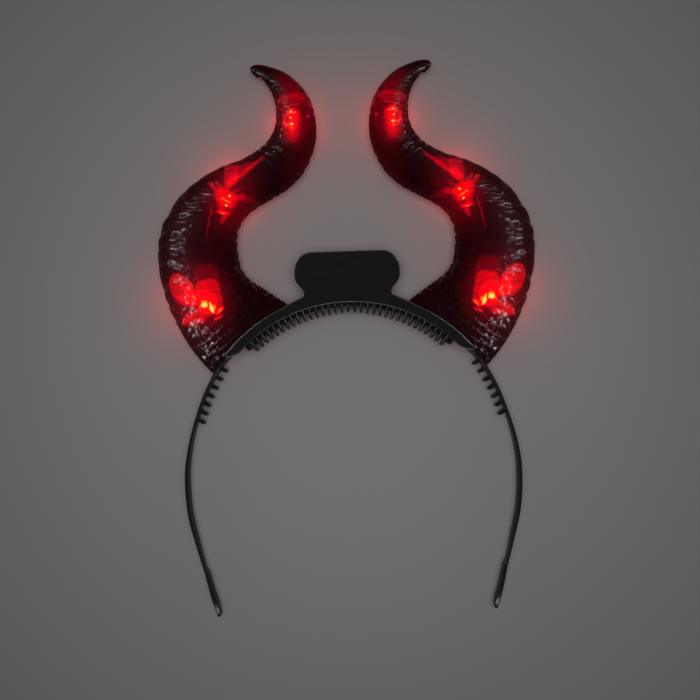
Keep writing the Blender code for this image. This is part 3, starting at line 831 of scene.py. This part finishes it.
# %% The strip
def strip_surface(u, v):
    """A point of the strip's rounded rectangular section."""
    last = len(ARCH_ROWS) - 1 - 1e-6
    place = (2 * u - 1) * last
    point, thickness, depth = strip_row(place)
    reach = 0.05
    ahead = strip_row(min(place + reach, last))[0] - strip_row(max(place - reach, -last))[0]
    ahead.normalize()
    inward = Vector((ahead.y, -ahead.x, 0.0))
    k = round(v * SECTION_SIDES) % SECTION_SIDES
    quarter, part = divmod(k, CORNER_STEPS + 1)
    turn = math.radians(90 * (quarter + part / CORNER_STEPS))
    radius = CORNER_SHARE * thickness
    side = (1, -1, -1, 1)[quarter]
    above = (1, 1, -1, -1)[quarter]
    across = side * (thickness / 2 - radius) + radius * math.cos(turn)
    up = above * (depth / 2 - radius) + radius * math.sin(turn)
    spot = point + inward * (thickness / 2 - across)
    return Vector((spot.x * MM, ARCH_Y + spot.y * MM, max(0.0, STRIP_MIDDLE + up * MM))), ()


band = bmesh.new()
rolled(band, STRIP_STEPS, SECTION_SIDES, strip_surface)
bmesh.ops.holes_fill(band, edges=[edge for edge in band.edges if edge.is_boundary], sides=0)
print("strip faces:", len(band.faces))

# %% [markdown]
# ## The front plate and its blank tab
# In front of the strip sits a flat plate that follows the arch, with a rounded tab in the middle.
# Discs and boxes could be joined with booleans, which leaves ragged edges that don't bevel well.
# Instead its outline is one wire of arcs, each swept from a single point. The wire is filled,
# given its thickness, and its front edge is bevelled, which makes the thin bright rim that
# plastic shows.

# %% Sweeping an arc
PLATE_FRONT = 24.5 * MM
PLATE_THICKNESS = 2.2 * MM
CENTRE = Vector((0.0, ARCH_Y, 0.0))


def polar(radius, degrees, centre=CENTRE):
    """The point at a radius in mm and an angle from the top, clockwise."""
    turn = math.radians(degrees)
    return centre + Vector((math.sin(turn), math.cos(turn), 0.0)) * radius * MM


def swept(bm, centre, radius, start, end, steps):
    """The vertices of an arc, swept from one point."""
    before = len(bm.verts)
    first = bm.verts.new(polar(radius, start, centre))
    bmesh.ops.spin(
        bm, geom=[first], cent=centre, axis=(0, 0, -1), angle=math.radians(end - start),
        steps=steps, use_merge=False, use_duplicate=False,
    )
    bm.verts.ensure_lookup_table()
    return [bm.verts[i] for i in range(before, len(bm.verts))]


# %% The plate's half outline
TAB_TOP = 81.5
TAB_CORNER = 7.5
FILLET = 2.6
PLATE_TOP = 65.0
PLATE_BOTTOM = 61.0
FILLET_END = ((65.75, 18.6), (65.55, 20.3), (65.25, 22.4))  # radius and angle
PLATE_END = ((64.0, 51.0), (62.0, 49.0))
high_corner = CENTRE + Vector((13.8, TAB_TOP - TAB_CORNER, 0)) * MM
low_corner = CENTRE + Vector((13.8, 73.0, 0)) * MM
fillet = CENTRE + Vector((20.4, 65.4, 0)) * MM
plate = bmesh.new()
wire = swept(plate, high_corner, TAB_CORNER, 0, 90, 14)
wire += swept(plate, low_corner, TAB_CORNER, 90, 132, 8)
wire += swept(plate, fillet, FILLET, -65, -155, 10)
wire += [plate.verts.new(polar(radius, angle)) for radius, angle in FILLET_END]
wire += swept(plate, CENTRE, PLATE_TOP, 24.5, 50.0, 30)
wire += [plate.verts.new(polar(radius, angle)) for radius, angle in PLATE_END]
wire += swept(plate, CENTRE, PLATE_BOTTOM, 46.4, 0.0, 56)
top = plate.verts.new(CENTRE + Vector((0.0, TAB_TOP, 0.0)) * MM)
for edge in list(plate.edges):
    plate.edges.remove(edge)
face = plate.faces.new([top] + wire)
print("half of the plate's outline has", len(face.verts), "points")

# %% [markdown]
# The half outline is raised to the front, thickened backwards and mirrored, which keeps both
# halves the same. Only the edge round the front face is bevelled, as the back can't be seen.

# %% Thickness and mirror of the plate
bmesh.ops.translate(plate, verts=plate.verts, vec=(0, 0, PLATE_FRONT))
back = bmesh.ops.extrude_face_region(plate, geom=[face])
bmesh.ops.translate(
    plate, verts=[item for item in back["geom"] if isinstance(item, bmesh.types.BMVert)],
    vec=(0, 0, -PLATE_THICKNESS),
)
on_line = [item for item in plate.faces if all(abs(vert.co.x) < 1e-7 for vert in item.verts)]
bmesh.ops.delete(plate, geom=on_line, context="FACES_ONLY")
bmesh.ops.mirror(
    plate, geom=plate.verts[:] + plate.edges[:] + plate.faces[:], axis="X", merge_dist=1e-6,
)
bmesh.ops.remove_doubles(plate, verts=plate.verts, dist=1e-7)
bmesh.ops.recalc_face_normals(plate, faces=plate.faces)
print("plate faces:", len(plate.faces))


# %% A soft front edge
def softened(bm, edges, offset, segments=2):
    """Bevel some edges by an offset in mm."""
    bmesh.ops.bevel(
        bm, geom=edges, offset=offset * MM, offset_type="OFFSET", segments=segments, profile=0.5,
        affect="EDGES", material=-1, clamp_overlap=True,
    )


rim = [
    edge for edge in plate.edges
    if len(edge.link_faces) == 2
    and all(abs(vert.co.z - PLATE_FRONT) < 1e-6 for vert in edge.verts)
    and abs(edge.link_faces[0].normal.z - edge.link_faces[1].normal.z) > 0.5
]
softened(plate, rim, 0.32)
print("plate faces:", len(plate.faces), "bevelled edges:", len(rim))


# %% Joining the plate to the strip
def join(target, source):
    """Move one bmesh into another."""
    mesh = bpy.data.meshes.new("joined")
    source.to_mesh(mesh)
    source.free()
    target.from_mesh(mesh)
    bpy.data.meshes.remove(mesh)


join(band, plate)
print("moulding faces:", len(band.faces))

# %% [markdown]
# ## The comb
# A rail hangs inside the arch behind the plate, and 33 short teeth stand on it to grip the hair.
# The rail is a rectangle spun about the arch's centre. One tooth is a cube with a rounded end, made
# again for each place, because the teeth get a little shorter towards the middle.

# %% The rail
RAIL_HALF_ANGLE = 43.5
RAIL_RADIUS = 61.45
RAIL_HEIGHT = 5.1
RAIL_MIDDLE = 14.5
RAIL_DEPTH = 13.0
rail = bmesh.new()
square = bmesh.ops.create_grid(rail, x_segments=1, y_segments=1, size=0.5)["verts"]
for vert in square:
    height, depth = vert.co.x * RAIL_HEIGHT, vert.co.y * RAIL_DEPTH
    vert.co = polar(RAIL_RADIUS + height, -RAIL_HALF_ANGLE)
    vert.co.z = (RAIL_MIDDLE + depth) * MM
bmesh.ops.spin(
    rail, geom=rail.verts[:] + rail.edges[:] + rail.faces[:], cent=CENTRE, axis=(0, 0, -1),
    angle=math.radians(2 * RAIL_HALF_ANGLE), steps=96, use_merge=False, use_duplicate=False,
)
bmesh.ops.recalc_face_normals(rail, faces=rail.faces)
lower_rim = [
    edge for edge in rail.edges
    if all(
        vert.co.z > 20.9 * MM and (vert.co - CENTRE).xy.length < 59.5 * MM for vert in edge.verts
    )
]
softened(rail, lower_rim, 0.25)
print("rail faces:", len(rail.faces))
join(band, rail)


# %% One tooth
def tooth(bm, length, root, tip, back, front, end_round):
    """A tapered tooth along -Y, all in mm, its end rounded and its front edges softened."""
    made = bmesh.ops.create_cube(bm, size=1.0)["verts"]
    for vert in made:
        low = vert.co.y < 0
        vert.co = Vector((
            vert.co.x * (tip if low else root),
            -length if low else 0.0,
            front if vert.co.z > 0 else back,
        )) * MM
    ends = [
        edge for edge in bm.edges
        if all(vert in made and vert.co.y < -length * MM * 0.9 for vert in edge.verts)
        and abs(edge.verts[0].co.z - edge.verts[1].co.z) > MM
    ]
    softened(bm, ends, tip * end_round, 4)
    on_front = [
        edge for edge in bm.edges if all(vert.co.z > front * MM - 1e-6 for vert in edge.verts)
    ]
    soft = [
        edge for edge in on_front
        if all(vert.co.y < -1e-6 for vert in edge.verts)
        or abs(edge.verts[0].co.y - edge.verts[1].co.y) > MM
    ]
    softened(bm, soft, 0.28)


# %% The comb's teeth
TEETH = 33
PITCH = 2.55
TOOTH_LENGTH = 5.08
TOOTH_SHORTENING = 0.7
TOOTH_ROOT = 61.48
LAST_OFF = (TEETH - 1) / 2
for i in range(TEETH):
    off = i - LAST_OFF
    shorter = TOOTH_SHORTENING * (1 - abs(off) / LAST_OFF) ** 3
    one = bmesh.new()
    tooth(one, TOOTH_LENGTH - shorter, root=1.06, tip=1.00, back=9.0, front=23.4, end_round=0.48)
    turn = Matrix.Rotation(math.radians(-off * PITCH), 4, "Z")
    there = Matrix.Translation(polar(TOOTH_ROOT, off * PITCH))
    bmesh.ops.transform(one, matrix=there @ turn, verts=one.verts)
    join(band, one)
print("comb teeth:", TEETH)

# %% [markdown]
# ## Teeth inside the arms
# Below the arch, seven small pegs stand inside each arm, all leaning the same way down and in.
# They are the comb's tooth again, shorter and wider. Each is placed where the strip comes down to
# its height, and mirrored for the other arm.

# %% Arm teeth
ARM_TEETH = 7
ARM_TOOTH_FIRST = 36.4
ARM_TOOTH_PITCH = 3.45
LEAN = 209.5
turn = Matrix.Rotation(math.radians(LEAN + 90), 4, "Z")
for i in range(ARM_TEETH):
    height = ARM_TOOTH_FIRST - ARM_TOOTH_PITCH * i
    place = next(p / 100 for p in range(500, 1200) if between(ARCH_ROWS, p / 100)[1] <= height)
    row = between(ARCH_ROWS, place)
    for side in (1, -1):
        one = bmesh.new()
        tooth(one, 3.8, root=2.0, tip=1.4, back=9.9, front=14.4, end_round=0.45)
        root = CENTRE + Vector((row[0] - row[2] / 2, row[1], 0.0)) * MM
        bmesh.ops.transform(one, matrix=Matrix.Translation(root) @ turn, verts=one.verts)
        bmesh.ops.transform(one, matrix=Matrix.Diagonal((side, 1, 1, 1)), verts=one.verts)
        bmesh.ops.recalc_face_normals(one, faces=one.faces)
        join(band, one)
print("arm teeth:", 2 * ARM_TEETH)

# %% The whole moulding
headband = finished(band, "headband_moulding", abs_black, 20)
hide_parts("headband")

# %% [markdown]
# ## The table
# The table is plain, pale and matt. One large face is enough, as nothing on it is seen from near.

# %% The table
TABLE_HALF = 2.5
floor_bm = bmesh.new()
bmesh.ops.create_grid(floor_bm, x_segments=1, y_segments=1, size=TABLE_HALF)
floor_mesh = bpy.data.meshes.new("table")
floor_bm.to_mesh(floor_mesh)
floor_bm.free()
floor = bpy.data.objects.new("table", floor_mesh)
bpy.context.scene.collection.objects.link(floor)
paper, tree, shader = blank("pale_matt_paper")
fill(tree, shader, {
    "Base Color": colour("#d9d9d9"), "Roughness": 0.9, "Specular IOR Level": 0.1,
})
floor_mesh.materials.append(paper)
print("table, m:", 2 * TABLE_HALF)

# %% [markdown]
# ## The lights
# A soft lamp overhead lights the table most in the middle. Gloss needs something to mirror, so
# three upright boxes on each side draw the white dashes on the horns, and four low lights draw
# the thin rims on the headband. One set of boxes for all would be simpler, but then the headband
# turns grey, so each set lights only its own piece. They don't add to the plain, matt brightness.

# %% Lights for the table and the gloss
def lamp(name, kind, energy, where, towards, tint=(1, 1, 1), **settings):
    """A light of one kind that points at a spot."""
    data = bpy.data.lights.new(name, kind)
    data.energy = energy
    data.color = tint
    for key, value in settings.items():
        setattr(data, key, value)
    item = bpy.data.objects.new(name, data)
    item.location = where
    item.rotation_euler = (Vector(towards) - Vector(where)).to_track_quat("-Z", "Y").to_euler()
    bpy.context.scene.collection.objects.link(item)
    return item


soft = lamp("soft_overhead", "SPOT", 7.2, (0, 0, 0.95), (0, 0, 0), spot_size=math.radians(34),
            spot_blend=1.0, shadow_soft_size=0.16)
soft.visible_glossy = False
EDGE_LIGHTS = [
    # name, x, y, height, width of the box, its length up and down, power, in metres and watts
    ("side", 0.290, 0.070, 0.200, 0.14, 0.30, 0.60),
    ("high", 0.225, 0.235, 0.200, 0.10, 0.30, 0.50),
    ("low", 0.230, -0.135, 0.160, 0.10, 0.26, 0.60),
]
RIM_LIGHTS = [
    # name, x, y, height, power
    ("below", 0.0, -0.40, 0.40, 0.60),
    ("above", 0.0, 0.40, 0.40, 0.25),
    ("left", -0.35, 0.20, 0.40, 0.90),
    ("right", 0.35, 0.20, 0.40, 0.90),
]
PINKISH = (1.0, 0.88, 0.91)


def gloss_light(name, power, where, towards, tint, size, receivers):
    """A box that only draws highlights, and only on one collection."""
    box = lamp(name, "AREA", power, where, towards, tint,
               shape="RECTANGLE", size=size[0], size_y=size[1])
    box.visible_diffuse = False
    box.light_linking.receiver_collection = receivers


for label, side in (("left", -1), ("right", 1)):
    lit = bpy.data.collections.new(f"lit_from_{label}")
    lit.objects.link(bpy.data.objects[f"horn_skin_{label}"])
    for name, x, y, height, width, length, power in EDGE_LIGHTS:
        gloss_light(f"edge_light_{label}_{name}", power, (side * x, y, height),
                    (side * 0.055, 0.03, 0.015), PINKISH, (width, length), lit)
only_band = bpy.data.collections.new("only_band")
only_band.objects.link(headband)
for name, x, y, height, power in RIM_LIGHTS:
    gloss_light(f"rim_light_{name}", power, (x, y, height),
                (0, 0.01, 0.02), (1, 1, 1), (0.3, 0.10), only_band)
print("gloss lights:", 2 * len(EDGE_LIGHTS) + len(RIM_LIGHTS))

# %% [markdown]
# ### Red light that leaks out
# The thin shells let red light out on to the table. The modelled skin is opaque, so ten small red
# lights stand inside the horns and shine through it, without shadows. A faint even light from all
# round fills the deepest shadows.

# %% Leaks and the fill light
LEAKS = [
    # x, y, height, all mm, and power
    (57.0, 14.5, 6.0, 0.0010),
    (67.0, 18.0, 6.0, 0.0042),
    (46.5, 64.0, 6.0, 0.0046),
    (16.5, 89.0, 6.0, 0.0018),
    (23.0, 89.0, 6.0, 0.0014),
]
for side in (-1, 1):
    for i, (x, y, height, power) in enumerate(LEAKS):
        where = (side * x * MM, y * MM, height * MM)
        leak = lamp(f"leak_{'left' if side < 0 else 'right'}_{i}", "POINT", power, where,
                    (0, 0, -1), (1.0, 0.02, 0.02), shadow_soft_size=3 * MM)
        leak.data.use_shadow = False
        leak.visible_glossy = False

world = bpy.data.worlds.new("studio")
bpy.context.scene.world = world
world.use_nodes = True
background = world.node_tree.nodes["Background"]
background.inputs["Color"].default_value = (1, 1, 1, 1)
background.inputs["Strength"].default_value = 0.060
print("leaks:", 2 * len(LEAKS))

# %% [markdown]
# ## A soft bloom
# Very bright red spills a little over its edges in any lens. The compositor's own glare would
# take the pale table too. So it takes only what is redder than it is grey, blurs it a little and
# a lot, and adds both to the picture.

# %% Bloom
scene = bpy.context.scene
scene.use_nodes = True
tree = scene.node_tree
tree.nodes.clear()
seen = add(tree, "RLayers").outputs["Image"]
parts = add(tree, "SeparateColor", {"Image": seen})
red, green, blue = [parts.outputs[name] for name in ("Red", "Green", "Blue")]
excess = maths(tree, "SUBTRACT", red, green, use_clamp=True)
spill = 0.0
for pixels, share in ((9, 0.04), (34, 0.06)):
    blur = add(tree, "Blur", {"Image": excess}, filter_type="GAUSS", size_x=pixels, size_y=pixels)
    spill = maths(tree, "MULTIPLY_ADD", blur, share, spill)
joined = add(tree, "CombineColor", {
    "Red": maths(tree, "ADD", red, spill), "Green": green, "Blue": blue,
})
add(tree, "Composite", {"Image": joined})
print("bloom nodes:", len(tree.nodes))
